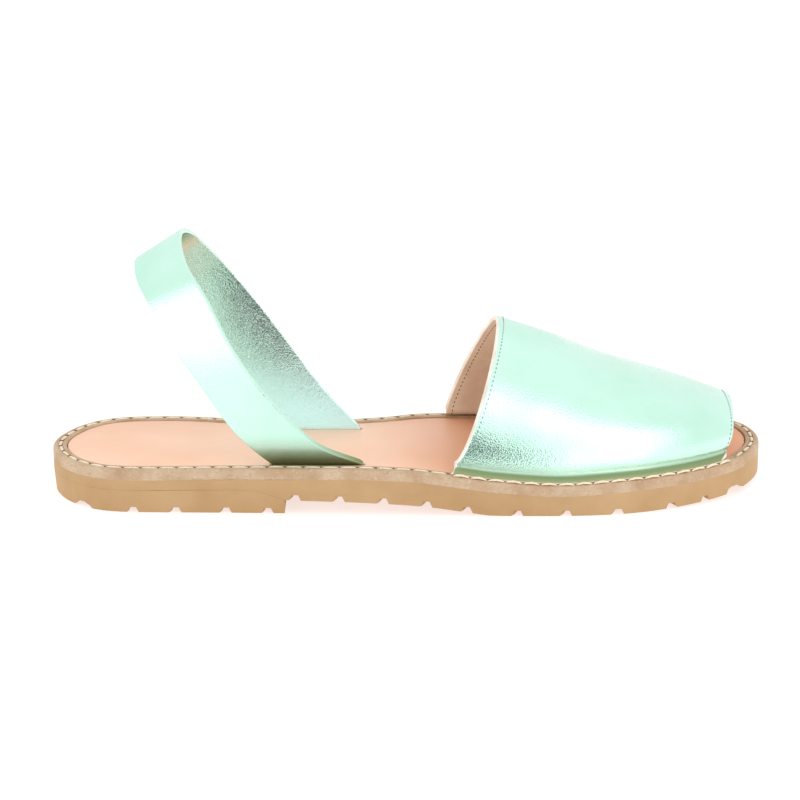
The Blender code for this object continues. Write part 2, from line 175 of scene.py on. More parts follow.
def copy_of_solid(node_name, piece_name):
    """A copy of a solid of the frame with its loose triangles merged into clean faces."""
    piece = bpy.data.objects.new(piece_name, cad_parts[node_name].data.copy())
    bpy.context.scene.collection.objects.link(piece)
    make_active(piece)
    bpy.ops.object.mode_set(mode="EDIT")
    bpy.ops.mesh.select_all(action="SELECT")
    bpy.ops.mesh.remove_doubles(threshold=WELD_REACH)
    bpy.ops.mesh.dissolve_limited(angle_limit=FLAT_ANGLE)
    bpy.ops.mesh.select_all(action="DESELECT")
    bpy.ops.object.mode_set(mode="OBJECT")
    return piece


def dress(piece, node_name, edge, material):
    """Break the hard edges of a copied solid, give it its finish and let it stand for the node."""
    apply_modifier(
        piece, "BEVEL", width=edge, segments=2, limit_method="ANGLE",
        angle_limit=HARD_EDGE_ANGLE,
    )
    bpy.ops.object.shade_smooth_by_angle(angle=SMOOTH_ANGLE)
    piece.data.materials.clear()
    piece.data.materials.append(material)
    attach(piece, "root")
    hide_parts(node_name)


outsole = copy_of_solid("outsole", "tread_rubber")
close_joint(outsole, OUTSOLE_LIFT)
dress(outsole, "outsole", RUBBER_EDGE, moulded_rubber("moulded_tan_rubber"))


# Heel block: a separate lift of the same rubber, glued under the rear of the
# outsole.  Its front face is cut square and its tread carries the same channels.

HEEL_LIFT = 0.26 * MM

heel = copy_of_solid("heel", "heel_block")
close_joint(heel, HEEL_LIFT)
dress(heel, "heel", RUBBER_EDGE, moulded_rubber("moulded_heel_rubber"))


# Midsole: undyed vegetable-tanned leather board, cut with a knife, so its edge
# and the raised rim around the insole are raw, dry and a little furry.  A
# shallow groove in the rim takes the stitches.

RAW_TAN = "#CBB297"
RAW_SHADE = "#B59777"
RAW_LIGHT = "#D8C6AE"
FIBRE_WIDTH = 0.7 * MM


def raw_leather(name, tan, shade, light):
    """Unfinished cut leather: matt, with short fibres and darker specks."""
    material, tree, surface, place = finish_named(name)
    cloud = ramp(tree, speckle(tree, place, 9 * MM, 5.0), 0.38, 0.68)
    fibre = speckle(tree, place, FIBRE_WIDTH, 3.0, (0.45, 0.45, 1.6))
    dark = ramp(tree, fibre, 0.56, 0.70)
    pale = ramp(tree, speckle(tree, place, 1.0 * MM, 4.0), 0.58, 0.85)
    tone = blend(tree, cloud, linear(tan), linear(shade))
    tone = blend(tree, pale, tone, linear(light))
    tone = blend(tree, dark, tone, linear(shade))
    tree.links.new(tone, surface.inputs["Base Color"])
    surface.inputs["Roughness"].default_value = 0.9
    surface.inputs["Specular IOR Level"].default_value = 0.25
    fur = relief(tree, fibre, 0.16 * MM)
    lump = relief(tree, speckle(tree, place, 3.2 * MM), 0.25 * MM, fur)
    tree.links.new(lump, surface.inputs["Normal"])
    return material


SOLE_LENGTH = 253 * MM
BALL_WIDTH = 88 * MM
HEEL_HEIGHT = 15.6 * MM
STATIONS = 240

# along as a share of the length, outer and inner side as shares of the ball width
OUTLINE = (
    (0.000, -0.091, -0.091),
    (0.011, -0.234, 0.052),
    (0.027, -0.318, 0.140),
    (0.053, -0.394, 0.218),
    (0.078, -0.436, 0.254),
    (0.110, -0.456, 0.272),
    (0.150, -0.462, 0.276),
    (0.200, -0.464, 0.259),
    (0.250, -0.466, 0.225),
    (0.345, -0.475, 0.182),
    (0.445, -0.483, 0.228),
    (0.534, -0.491, 0.347),
    (0.615, -0.498, 0.440),
    (0.690, -0.500, 0.486),
    (0.745, -0.493, 0.500),
    (0.800, -0.470, 0.490),
    (0.873, -0.400, 0.445),
    (0.944, -0.274, 0.372),
    (0.984, -0.114, 0.268),
    (1.000, 0.080, 0.080),
)

# along, top of the welt as a share of the heel height
WELT_TOP = (
    (0.000, 1.000), (0.120, 1.000), (0.250, 1.025), (0.295, 1.035), (0.330, 1.045),
    (0.420, 1.045), (0.500, 1.010), (0.534, 0.955), (0.580, 0.860), (0.620, 0.780),
    (0.710, 0.692), (0.770, 0.735), (0.840, 0.780), (0.920, 0.825), (1.000, 0.860),
)


def cubic(places, values, slopes, wanted):
    """Values on the cubic that has the given slopes at the given places."""
    cell = np.clip(np.searchsorted(places, wanted, side="right") - 1, 0, len(places) - 2)
    span = (places[cell + 1] - places[cell])[:, None]
    part = (wanted - places[cell])[:, None] / span
    result = (2 * part**3 - 3 * part**2 + 1) * values[cell]
    result += (3 * part**2 - 2 * part**3) * values[cell + 1]
    result += span * (part**3 - 2 * part**2 + part) * slopes[cell]
    result += span * (part**3 - part**2) * slopes[cell + 1]
    return result


def read_table(table, wanted, warp=None):
    """Columns of a table at the wanted places, on a curve that never overshoots."""
    table = np.array(table, float)
    places, values = table[:, 0], table[:, 1:]
    wanted = np.clip(np.atleast_1d(np.asarray(wanted, float)), places[0], places[-1])
    if warp:
        places, wanted = warp(places), warp(wanted)
    steps = np.diff(places)[:, None]
    rises = np.diff(values, axis=0) / steps
    before, after = rises[:-1], rises[1:]
    wide = 2 * steps[1:] + steps[:-1]
    narrow = steps[1:] + 2 * steps[:-1]
    same_way = before * after > 0
    safe = np.where(same_way, before, 1.0), np.where(same_way, after, 1.0)
    middle = np.where(same_way, (wide + narrow) / (wide / safe[0] + narrow / safe[1]), 0.0)
    slopes = np.vstack([rises[:1], middle, rises[-1:]])
    return cubic(places, values, slopes, wanted)


def round_ends(share):
    """Even steps of this turn bunch up at the heel and the toe."""
    return np.arccos(1 - 2 * share) / math.pi


def along(share):
    """Lengthwise place of a share of the sole length."""
    return (np.asarray(share) - 0.5) * SOLE_LENGTH


def welt_top(x):
    """Height of the top of the welt at lengthwise places."""
    return HEEL_HEIGHT * read_table(WELT_TOP, np.asarray(x) / SOLE_LENGTH + 0.5)[:, 0]


def side_line(inset, inner):
    """Points along one side of the sole, heel to toe, moved inward by an inset."""
    shares = (1 - np.cos(np.linspace(0, 1, STATIONS + 1) * math.pi)) / 2
    sides = BALL_WIDTH * read_table(OUTLINE, shares, round_ends)
    line = np.column_stack([along(shares), sides[:, 1 if inner else 0]])
    ahead = np.gradient(line, axis=0)
    ahead /= np.linalg.norm(ahead, axis=1)[:, None]
    turn = 1 if inner else -1
    ahead[0] = (0, turn)
    ahead[-1] = (0, -turn)
    inward = np.column_stack([ahead[:, 1], -ahead[:, 0]]) * turn
    return line + inward * inset


def side_at(x, inset, inner):
    """Side place of the inset outline at a lengthwise place."""
    line = side_line(inset, inner)
    return float(np.interp(x, line[:, 0], line[:, 1]))


WELT_THICKNESS = 3.6 * MM
WELT_LAP = 0.25 * MM
RIM_WIDTH = 4.8 * MM
RECESS_DEPTH = 2.3 * MM
EDGE_ROUND = 1.2 * MM
GROOVE_INSET = 2.6 * MM
GROOVE_WIDTH = 1.5 * MM
GROOVE_DEPTH = 0.45 * MM
RIM_LIP = 0.5 * MM
ROUND_STEPS = 7

# across as a share of the groove's width, down as a share of its depth
GROOVE_SECTION = (
    (-0.5, 0.0), (-0.44, 0.7), (-0.2, 1.0), (0.2, 1.0), (0.44, 0.7), (0.5, 0.0),
)


def rim_profile():
    """Insets and heights of the board's section, from its lower edge into its recess."""
    profile = [(0.0, -WELT_THICKNESS - WELT_LAP)]
    for turn in np.linspace(0, math.pi / 2, ROUND_STEPS):
        profile.append((EDGE_ROUND * (1 - math.cos(turn)), EDGE_ROUND * (math.sin(turn) - 1)))
    for across, down in GROOVE_SECTION:
        profile.append((GROOVE_INSET + GROOVE_WIDTH * across, -GROOVE_DEPTH * down))
    profile.append((RIM_WIDTH - RIM_LIP, 0.0))
    profile.append((RIM_WIDTH - 0.2 * RIM_LIP, -0.3 * RIM_LIP))
    profile.append((RIM_WIDTH, -RIM_LIP))
    profile.append((RIM_WIDTH, -RECESS_DEPTH))
    return profile


def lay_grid(name, grid):
    """A grid primitive whose points are laid on a table of places."""
    rows, columns, _ = grid.shape
    deselect_all()
    bpy.ops.mesh.primitive_grid_add(x_subdivisions=rows - 1, y_subdivisions=columns - 1, size=1)
    piece = bpy.context.object
    piece.name = name
    piece.data.name = name
    piece.data.vertices.foreach_set("co", grid.transpose(1, 0, 2).ravel())
    return piece


def board_side(inner):
    """One side of the board: the profile carried along the outline."""
    lines = []
    for inset, height in rim_profile():
        line = side_line(inset, inner)
        lines.append(np.column_stack([line, welt_top(line[:, 0]) + height]))
    return np.array(lines).transpose(1, 0, 2)


outer_side, inner_side = board_side(False), board_side(True)
board_grid = np.concatenate([outer_side, inner_side[:, ::-1], outer_side[:, :1]], axis=1)
midsole = lay_grid("midsole_board", board_grid)
make_active(midsole)
bpy.ops.object.mode_set(mode="EDIT")
bpy.ops.mesh.select_all(action="SELECT")
bpy.ops.mesh.remove_doubles(threshold=WELD_REACH)
bpy.ops.mesh.normals_make_consistent(inside=False)
bpy.ops.object.mode_set(mode="OBJECT")
bpy.ops.object.shade_smooth_by_angle(angle=SMOOTH_ANGLE)
midsole.data.materials.append(raw_leather("raw_tan_leather", RAW_TAN, RAW_SHADE, RAW_LIGHT))
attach(midsole, "root")
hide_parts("midsole")


# Insole: smooth peach leather laid inside the rim, slit once at each side for
# the heel strap.  Its middle is plain.

INSOLE_EDGE = 0.3 * MM
INSOLE_PEACH = "#FDD2B6"
INSOLE_SHADE = "#F5C3A3"
# deeper orange painted towards the toe, under the vamp: a painted shade and reflection of the vamp
# and its lining
INSOLE_UNDER_VAMP_SHADE = "#E9A67C"
DEEPENS_FROM = -14 * MM
DEEPENS_TO = 40 * MM
PORE_SIZE = 0.9 * MM


def smooth_leather(name, colour, shade, painted_light):
    """Dyed, polished leather: soft gloss, fine pores, and towards the toe a deeper tone, a painted
    shade and reflection of the vamp.
    """
    material, tree, surface, place = finish_named(name)
    cloud = ramp(tree, speckle(tree, place, 40 * MM, 3.0), 0.35, 0.75)
    tone = blend(tree, cloud, linear(colour), linear(shade))
    # between DEEPENS_FROM and DEEPENS_TO the colour runs into the painted shade of the vamp
    lengthwise = node(tree, "SeparateXYZ", {"Vector": place}).outputs["X"]
    forward = ramp(tree, lengthwise, DEEPENS_FROM, DEEPENS_TO)
    tone = blend(tree, forward, tone, linear(painted_light))
    tree.links.new(tone, surface.inputs["Base Color"])
    gloss = node(tree, "MapRange", {"Value": cloud, "To Min": 0.42, "To Max": 0.52})
    tree.links.new(gloss.outputs["Result"], surface.inputs["Roughness"])
    pores = relief(tree, speckle(tree, place, PORE_SIZE, 4.0), 0.04 * MM)
    waves = relief(tree, speckle(tree, place, 14 * MM), 0.20 * MM, pores)
    tree.links.new(waves, surface.inputs["Normal"])
    return material


insole = copy_of_solid("insole", "insole_sheet")
dress(insole, "insole", INSOLE_EDGE,
      smooth_leather("peach_insole_leather", INSOLE_PEACH, INSOLE_SHADE, INSOLE_UNDER_VAMP_SHADE))


# Vamp: one sheet of mint foil leather with a suede lining, lasted into an arch
# from rim to rim.  Its foot is turned out on the welt and skived thin there.

JOINT_GAP = 0.3 * MM
LEATHER_THICKNESS = 1.9 * MM
VAMP_HEIGHT = 59.6 * MM
FOOT_INSET = 5.0 * MM
FLANGE_INSET = 1.3 * MM
FLANGE_BEND = 2.1 * MM
SKIVED_SHARE = 0.42
SKIVED_DROP = 0.75 * MM
THROAT_SHARE = 0.555
TOE_OPENING_SHARE = 0.947
OUTER_LEAN_CURVE = 0.7
INNER_LEAN_CURVE = 1.15
THROAT_FOOT_LEAD = 1.5 * MM
THROAT_FLANGE_TRIM = 2.0 * MM
TOE_FOOT_SETBACK = 1.2 * MM
TOE_FLANGE_SETBACK = 3.2 * MM
CORNER_REACH = 0.15
VAMP_ROW_COUNT = 150
VAMP_ARCH_STEPS = 140
VAMP_BEND_STEPS = 7
FLANGE_STEPS = 4
LEATHER_EDGE = 0.4 * MM
CUT_SLANT = 1.0 * MM
CUT_ROWS = 9
SLANT_FADE = 1.6
SKIVE_FADE = 0.7
# how far up the vamp the olive painted shade and reflection of the sole reaches, and how it fades
SOLE_SHADE_FADE = 0.8
SOLE_SHADE_STEPS = 4
LEATHER_EDGE_ANGLE = math.radians(55)
LEATHER_SMOOTH_ANGLE = math.radians(60)

# share of the way from throat to toe opening, forward lean, height and sideways
# place of the top, fullness of the arch
VAMP_ROWS = (
    (0.00, 0.068, 0.988, -0.010, 2.00),
    (0.25, 0.047, 0.868, 0.000, 2.05),
    (0.50, 0.031, 0.720, 0.010, 2.15),
    (0.75, 0.022, 0.600, 0.025, 2.25),
    (1.00, 0.010, 0.462, 0.045, 2.35),
)


def corner_shifts(share):
    """Lengthwise shifts of foot and edge, for the outer and the inner side."""
    throat = max(0.0, 1 - share / CORNER_REACH)
    toe = max(0.0, 1 - (1 - share) / CORNER_REACH) ** 2
    outer = (THROAT_FOOT_LEAD * throat - TOE_FOOT_SETBACK * toe, -TOE_FLANGE_SETBACK * toe)
    return outer, (0.0, THROAT_FLANGE_TRIM * throat)


def turned_out_foot(foot, edge, base):
    """One side's middle line from its skived edge along the welt and up the bend."""
    out = math.copysign(1.0, edge[1] - foot[1])
    bend_start = np.array([foot[0], foot[1] + out * FLANGE_BEND])
    line = []
    for step in range(FLANGE_STEPS):
        part = step / FLANGE_STEPS
        x, y = edge + (bend_start - edge) * part
        line.append((x, y, base - SKIVED_DROP * (1 - part) ** 2))
    for turn in np.linspace(0, math.pi / 2, VAMP_BEND_STEPS + 1):
        reach = FLANGE_BEND * (1 - math.sin(turn))
        rise = FLANGE_BEND * (1 - math.cos(turn))
        line.append((foot[0], foot[1] + out * reach, base + rise))
    return line


def vamp_section(share):
    """Middle line of one vamp section from the outer edge over to the inner edge."""
    lean, top, sideways, fullness = read_table(VAMP_ROWS, share)[0]
    x = float(along(THROAT_SHARE + (TOE_OPENING_SHARE - THROAT_SHARE) * share))
    base = float(welt_top(x)[0]) + JOINT_GAP + LEATHER_THICKNESS / 2
    feet, lines = [], []
    for inner, shifts in zip((False, True), corner_shifts(share)):
        foot_x, edge_x = x + shifts[0], x + shifts[1]
        foot = np.array([foot_x, side_at(foot_x, FOOT_INSET, inner)])
        edge = np.array([edge_x, side_at(edge_x, FLANGE_INSET, inner)])
        feet.append(foot)
        lines.append(turned_out_foot(foot, edge, base))
    wall_foot = base + FLANGE_BEND
    crown = VAMP_HEIGHT * top - wall_foot
    crown_side = sideways * BALL_WIDTH
    arch = []
    for turn in np.linspace(0, math.pi, VAMP_ARCH_STEPS + 1)[1:-1]:
        across = abs(math.cos(turn)) ** (2 / fullness)
        up = math.sin(turn) ** (2 / fullness)
        on_outer = turn < math.pi / 2
        foot = feet[0] if on_outer else feet[1]
        curve = OUTER_LEAN_CURVE if on_outer else INNER_LEAN_CURVE
        forward = lean * SOLE_LENGTH * math.sin(turn) ** curve + (foot[0] - x) * (1 - up) ** 3
        side = crown_side + (foot[1] - crown_side) * across
        arch.append((x + forward, side, wall_foot + crown * up))
    return np.array(lines[0] + arch + lines[1][::-1])


def grid_normals(grid):
    """Unit normals of a grid of points."""
    normal = np.cross(np.gradient(grid, axis=0), np.gradient(grid, axis=1))
    return normal / np.linalg.norm(normal, axis=2)[:, :, None]


def slant_cut(sheet, grid, slant):
    """Draw the outer face back from both openings, so the knife's cut shows as a slant.

    The cut is slanted on the outer side of the foot and square over the rest.
    """
    rows, columns, _ = grid.shape
    places = np.array([v.co for v in sheet.data.vertices])
    middle, normal = grid.transpose(1, 0, 2), grid_normals(grid).transpose(1, 0, 2)
    for first in (0, rows * columns):
        shell = places[first:first + rows * columns].reshape(columns, rows, 3)
        if np.sum((shell - middle) * normal) < 0:
            continue
        for line, facing in zip(shell, normal):
            cut = slant * float(np.clip(-facing[0, 1] * SLANT_FADE, 0, 1))
            for run in (line[:CUT_ROWS], line[::-1][:CUT_ROWS]):
                reach = np.linalg.norm(np.diff(run, axis=0), axis=1).cumsum()
                reach = np.concatenate([[0], reach])
                wanted = cut + reach * (1 - cut / reach[-1])
                run[:] = np.column_stack([np.interp(wanted, reach, run[:, k]) for k in range(3)])
        places[first:first + rows * columns] = shell.reshape(-1, 3)
    sheet.data.vertices.foreach_set("co", places.ravel())


def leather_sheet(name, grid, thickness, finishes, painted_sole_shade, thin=None, thin_share=1.0, slant=0.0):
    """A grid primitive laid on the points of a sheet, then given its thickness."""
    sheet = lay_grid(name, grid)
    # the olive painted shade and reflection of the sole, carried on the sheet's points
    low = sheet.data.attributes.new("painted_sole_shade", "FLOAT", "POINT")
    low.data.foreach_set("value", painted_sole_shade.T.ravel())
    for finish in finishes:
        sheet.data.materials.append(finish)
    settings = {}
    if thin is not None:
        group = sheet.vertex_groups.new(name="full")
        for index, weight in enumerate(thin.T.ravel()):
            group.add([index], float(weight), "REPLACE")
        settings = {"vertex_group": "full", "thickness_vertex_group": thin_share}
    apply_modifier(
        sheet, "SOLIDIFY", thickness=thickness, offset=0.0,
        material_offset=1, material_offset_rim=2, **settings)
    sheet.vertex_groups.clear()
    if slant:
        slant_cut(sheet, grid, slant)
    apply_modifier(
        sheet, "BEVEL", width=LEATHER_EDGE, segments=2, limit_method="ANGLE",
        angle_limit=LEATHER_EDGE_ANGLE)
    bpy.ops.object.shade_smooth_by_angle(angle=LEATHER_SMOOTH_ANGLE)
    return sheet


FOIL_MINT = "#D3FAEA"
FOIL_DEEP = "#C9F5E2"
# olive painted low on the foil: a painted shade and reflection of the sole
PAINTED_SOLE_OLIVE = "#939F74"
# pale, less metallic mint painted low on the strap's inner face: a painted pale reflection
PAINTED_PALE_MINT = "#DCFFFC"
FOIL_METAL = 0.9
PAINTED_PALE_METAL = 0.4
FOIL_GRAIN = 0.54 * MM
FOIL_GRAIN_DEPTH = 0.115 * MM
FOIL_WAVE = 12 * MM
FOIL_WAVE_DEPTH = 0.15 * MM
FOIL_CREASE = 1.2 * MM
FLAT_CRUSH = 0.005 * MM
SUEDE_TAN = "#FCF4E2"
SUEDE_SHADE = "#E8D7BE"
SUEDE_NAP = "#EFE2D4"
CUT_CREAM = "#FBF6EF"
CUT_SHADE = "#EADCCB"
CUT_LIGHT = "#FFFAF2"


def foil_leather(name, crush, colour=FOIL_MINT, shade=FOIL_DEEP, painted_light=None):
    """Leather with a mint metal foil: mirror-like grains that speckle in dark reflections.

    Below two given heights it is painted paler and less metallic, a painted pale reflection.
    """
    material, tree, surface, place = finish_named(name)
    cloud = ramp(tree, speckle(tree, place, 22 * MM, 3.0), 0.35, 0.70)
    tone = blend(tree, cloud, linear(colour), linear(shade))
    low = node(tree, "Attribute", attribute_name="painted_sole_shade").outputs["Fac"]
    # near the sole the foil runs to olive, a painted shade and reflection of the sole
    tone = blend(tree, ramp(tree, low, 0.0, 0.85), tone, linear(PAINTED_SOLE_OLIVE))
    surface.inputs["Metallic"].default_value = FOIL_METAL
    if painted_light is not None:
        # fading in from the upper height down to the lower, the foil is painted paler and less
        # metallic, a painted pale reflection
        height = node(tree, "SeparateXYZ", {"Vector": place}).outputs["Z"]
        painted_pale = ramp(tree, height, *painted_light)
        metal = node(tree, "MapRange", {
            "Value": painted_pale, "To Min": FOIL_METAL, "To Max": PAINTED_PALE_METAL,
        })
        tree.links.new(metal.outputs["Result"], surface.inputs["Metallic"])
        tone = blend(tree, painted_pale, tone, linear(PAINTED_PALE_MINT))
    tree.links.new(tone, surface.inputs["Base Color"])
    gloss = node(tree, "MapRange", {"Value": cloud, "To Min": 0.11, "To Max": 0.16})
    # the gloss dulls where that painted shade lies
    sole_shade_dulling = ramp(tree, low, 0.0, 0.6)
    dulled = node(tree, "Mix", {0: sole_shade_dulling, 2: gloss.outputs["Result"], 3: 0.5}, data_type="FLOAT")
    tree.links.new(dulled.outputs[0], surface.inputs["Roughness"])
    grain = relief(tree, speckle(tree, place, FOIL_GRAIN, 1.5), FOIL_GRAIN_DEPTH)
    waves = relief(tree, speckle(tree, place, FOIL_WAVE, 2.0), FOIL_WAVE_DEPTH, grain)
    creases = relief(tree, speckle(tree, place, FOIL_CREASE, 2.0), crush, waves)
    tree.links.new(creases, surface.inputs["Normal"])
    return material


def suede(name):
    """Split leather lining: matt nap with fine pulled fibres."""
    material, tree, surface, place = finish_named(name)
    cloud = ramp(tree, speckle(tree, place, 12 * MM, 4.0), 0.35, 0.70)
    nap = speckle(tree, place, 0.6 * MM, 4.0, (0.5, 1, 1))
    tone = blend(tree, cloud, linear(SUEDE_TAN), linear(SUEDE_SHADE))
    tone = blend(tree, ramp(tree, nap, 0.55, 0.75), tone, linear(SUEDE_NAP))
    tree.links.new(tone, surface.inputs["Base Color"])
    surface.inputs["Roughness"].default_value = 0.95
    surface.inputs["Specular IOR Level"].default_value = 0.2
    surface.inputs["Sheen Weight"].default_value = 0.25
    fuzz = relief(tree, nap, 0.12 * MM)
    wrinkle = relief(tree, speckle(tree, place, 2.4 * MM, 3.0, (0.5, 1, 1.6)), 0.18 * MM, fuzz)
    tree.links.new(wrinkle, surface.inputs["Normal"])
    return material


vamp_shares = np.linspace(0, 1, VAMP_ROW_COUNT + 1)
vamp_grid = np.array([vamp_section(share) for share in vamp_shares])
flange_points = FLANGE_STEPS + 1
full = np.ones(vamp_grid.shape[:2])
fade = np.linspace(0, 1, flange_points) ** SKIVE_FADE
full[:, :flange_points] = fade
full[:, -flange_points:] = fade[::-1]
vamp_sole_shade = np.zeros(vamp_grid.shape[:2])
# olive painted on the turned-out foot and the bend, fading up the wall: a painted shade and
# reflection of the sole
sole_shade_columns = FLANGE_STEPS + VAMP_BEND_STEPS + SOLE_SHADE_STEPS
sole_shade_ramp = np.clip(1 - np.arange(sole_shade_columns) / (sole_shade_columns - 1), 0, 1) ** SOLE_SHADE_FADE
vamp_sole_shade[:, :sole_shade_columns] = sole_shade_ramp
vamp_sole_shade[:, -sole_shade_columns:] = sole_shade_ramp[::-1]
vamp = leather_sheet("vamp_leather", vamp_grid, LEATHER_THICKNESS, (
    foil_leather("mint_foil_leather", FLAT_CRUSH),
    suede("suede_lining"),
    raw_leather("cut_cream_leather", CUT_CREAM, CUT_SHADE, CUT_LIGHT),
), vamp_sole_shade, full, SKIVED_SHARE, CUT_SLANT)
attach(vamp, "root")
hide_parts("vamp")


# Heel strap: a plain band of the same foil leather, foil on both faces, let
# into the insole at both sides and standing up in a loop behind the heel.  Its
# foil is finely crushed.  On the inner face beside the slots it is painted
# paler and less metallic, a painted pale reflection.

INSOLE_DROP = 0.5 * MM
STRAP_THICKNESS = 2.0 * MM
STRAP_RISE = 77.5 * MM
SLOT_STAND = 0.6 * MM
STRAP_STATION_COUNT = 260
STRAP_WIDTH_STEPS = 26
# how far up the strap's outer leg the olive painted shade and reflection of the sole reaches
SOLE_SHADE_REACH = 14 * MM
STRAP_SOLE_SHADE_FADE = 1.3
SOLE_SHADE_SIDE = -0.1 * BALL_WIDTH
OUTER_CRUSH = 0.03 * MM
INNER_CRUSH = 0.06 * MM
# heights above the seat where the painted pale reflection on the strap's inner face begins and is
# full
PALE_LIGHT_TOP = 27 * MM
PALE_LIGHT_BOTTOM = 7 * MM
FOIL_PALE = "#D9EFE4"
FOIL_GREY = "#CCE3D5"

# rear along, rear side, rear height, front along, front side, front height
STRAP_ROWS = (
    (0.2845, -0.432, 0.098, 0.376, -0.455, 0.115),
    (0.2580, -0.443, 0.193, 0.310, -0.484, 0.343),
    (0.2145, -0.432, 0.401, 0.264, -0.484, 0.556),
    (0.1715, -0.398, 0.601, 0.226, -0.420, 0.785),
    (0.1500, -0.352, 0.718, 0.211, -0.375, 0.850),
    (0.1335, -0.272, 0.788, 0.197, -0.290, 0.908),
    (0.1255, -0.091, 0.855, 0.187, -0.091, 0.985),
    (0.1370, 0.048, 0.806, 0.199, 0.058, 0.940),
    (0.1680, 0.113, 0.676, 0.229, 0.119, 0.822),
    (0.2240, 0.118, 0.454, 0.283, 0.147, 0.604),
    (0.2720, 0.112, 0.231, 0.332, 0.143, 0.386),
    (0.3060, 0.098, 0.080, 0.381, 0.114, 0.178),
)

# rear along, front along, side
OUTER_SLOT = (0.3120, 0.4370, -0.392)
INNER_SLOT = (0.3100, 0.4310, 0.085)


def slot_lines(slot):
    """The strap's two lowest lines across, standing in one slot, lowest first."""
    rear, front, side = slot
    lines = []
    for lift in (0.0, 1.0):
        line = []
        for share in (rear, front):
            top = float(welt_top(along(share))[0])
            floor_height = top - RECESS_DEPTH + JOINT_GAP
            stand = top - INSOLE_DROP + SLOT_STAND
            height = floor_height + (stand - floor_height) * lift
            line += [float(along(share)), side * BALL_WIDTH, height]
        lines.append(line)
    return lines


def run_lengths(line):
    """How far along a line of points each point lies."""
    return np.concatenate([[0], np.cumsum(np.linalg.norm(np.diff(line, axis=0), axis=1))])


seat = float(welt_top(along(OUTER_SLOT[1]))[0]) - INSOLE_DROP
strap_lines = slot_lines(OUTER_SLOT)
for row in STRAP_ROWS:
    line = []
    for lengthwise, sideways, height in (row[:3], row[3:]):
        line += [float(along(lengthwise)), sideways * BALL_WIDTH, seat + height * STRAP_RISE]
    strap_lines.append(line)
strap_lines += slot_lines(INNER_SLOT)[::-1]
strap_lines = np.array(strap_lines)
strap_middle = (strap_lines[:, :3] + strap_lines[:, 3:]) / 2
strap_run = run_lengths(strap_middle)
strap_wanted = np.linspace(strap_run[1], strap_run[-2], STRAP_STATION_COUNT + 1)
strap_slopes = np.gradient(strap_lines[1:-1], strap_run[1:-1], axis=0)
strap_smooth = cubic(strap_run[1:-1], strap_lines[1:-1], strap_slopes, strap_wanted)
strap_smooth = np.vstack([strap_lines[:1], strap_smooth, strap_lines[-1:]])
across = np.linspace(0, 1, STRAP_WIDTH_STEPS + 1)[None, :, None]
strap_grid = strap_smooth[:, None, :3] * (1 - across) + strap_smooth[:, None, 3:] * across
strap_foil = foil_leather("strap_foil_leather", OUTER_CRUSH)
pale_light_heights = (seat + PALE_LIGHT_TOP, seat + PALE_LIGHT_BOTTOM)
creased_foil = foil_leather(
    "creased_foil_leather", INNER_CRUSH, FOIL_PALE, FOIL_GREY, pale_light_heights)
# olive painted low on the strap's outer leg: a painted shade and reflection of the sole and insole
strap_sole_shade = np.clip(1 - (strap_grid[:, :, 2] - seat) / SOLE_SHADE_REACH, 0, 1) ** STRAP_SOLE_SHADE_FADE
strap_sole_shade[strap_grid[:, :, 1] > SOLE_SHADE_SIDE] = 0
strap = leather_sheet("strap_leather", strap_grid, STRAP_THICKNESS, (
    creased_foil, strap_foil, foil_leather("strap_edge_foil", FLAT_CRUSH),
), strap_sole_shade)
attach(strap, "root")
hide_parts("heel_strap")


# Sole stitching: thick waxed cream thread, one lockstitch every 6 mm, sewn
# through the rim and, beside the vamp, over the edge of its turned-out foot.
# Between each two stitches of the rim lies a dark brown sliver: the painted shadow of the awl hole.

STITCH_PITCH = 6.2 * MM
THREAD_WIDTH = 1.15 * MM
THREAD_HEIGHT = 0.75 * MM
STITCH_REACH = 0.94
RIM_STITCH_SINK = 0.22 * MM
RIM_STITCH_BOW = 0.12 * MM
TOE_STITCH_CLEARANCE = 2 * MM
FLANGE_STITCH_INSET = 0.75 * MM
FLANGE_STITCH_LIFT = 0.10 * MM
FLANGE_STITCH_HEIGHT = 0.8 * MM
FLANGE_STITCH_BOW = 0.55 * MM
SLIT_LENGTH = 1.5 * MM
SLIT_WIDTH = 0.42 * MM
SLIT_HEIGHT = 0.3 * MM
SLIT_LIFT = 0.02 * MM
SLIT_SLANT = 1.4
TWIST = 0.5 * MM
TWIST_DEPTH = 0.06 * MM
STITCH_LEAN = 4
THREAD_CREAM = "#F4E6CC"
THREAD_SHADE = "#E0CCAA"
# dark brown of the slivers between the rim stitches: a painted shadow of the awl holes
HOLE_SHADOW_BROWN = "#7E5F46"
HOLE_SHADOW_DEEP = "#6B4D36"
UPWARD = np.array([0, 0, 1.0])
random.seed(7)


def waxed_thread(name, colour, shade):
    """Waxed linen thread: satin, with the slanted shadow of its twist."""
    material, tree, surface, place = finish_named(name)
    strand = speckle(tree, place, TWIST, 2.0, (1, 1, 0.4))
    tone = blend(tree, ramp(tree, strand, 0.4, 0.7), linear(colour), linear(shade))
    tree.links.new(tone, surface.inputs["Base Color"])
    surface.inputs["Roughness"].default_value = 0.6
    groove = relief(tree, strand, TWIST_DEPTH)
    tree.links.new(groove, surface.inputs["Normal"])
    return material


